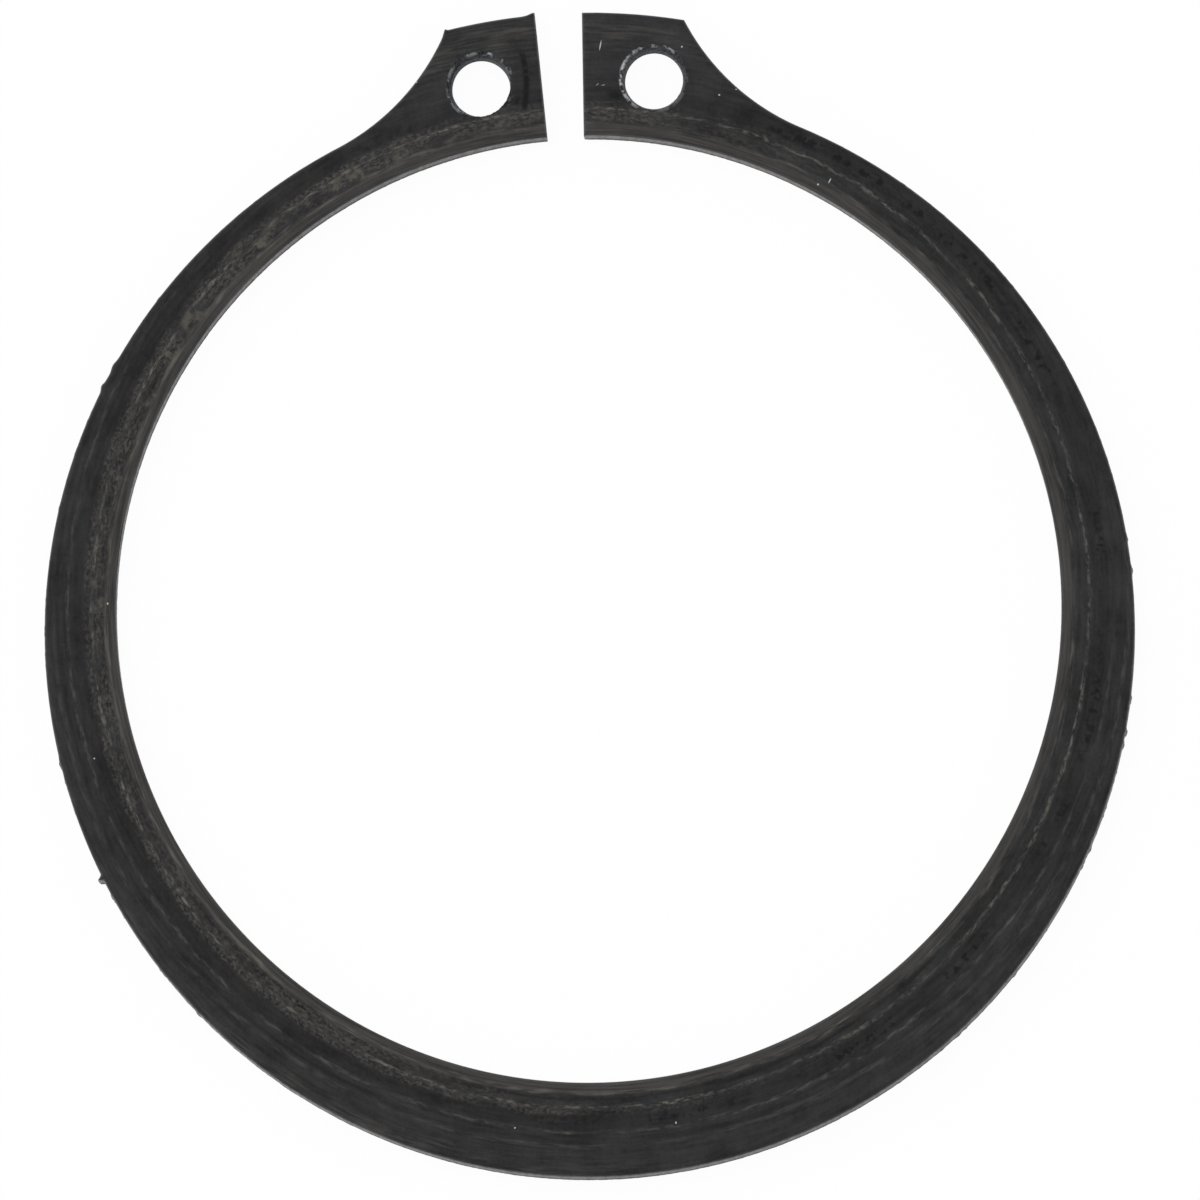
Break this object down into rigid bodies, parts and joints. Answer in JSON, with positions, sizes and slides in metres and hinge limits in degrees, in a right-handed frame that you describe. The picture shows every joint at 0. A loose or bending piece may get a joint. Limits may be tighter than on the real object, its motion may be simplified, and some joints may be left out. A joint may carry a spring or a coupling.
{
  "type": "external retaining ring",
  "caption": "Flat open steel ring, widest opposite its gap, with holed lugs at the gap. Spread by pliers, it snaps into a groove and stops parts sliding along a shaft.",
  "frame": {"origin": "centre of the inner circle, halfway through the strip's thickness", "axes": "+Z along the shaft, out of the rolled upper face; +Y from the centre to the gap between the two lugs; +X to the right-hand lug seen from above with the gap at the top"},
  "size_m": [0.0542, 0.0577, 0.0016],
  "materials": {
    "phosphated_spring_steel": "black phosphate and oil, dull"
  },
  "bodies": {
    "root": {"retaining_ring": "phosphated_spring_steel"}
  },
  "joints": []
}
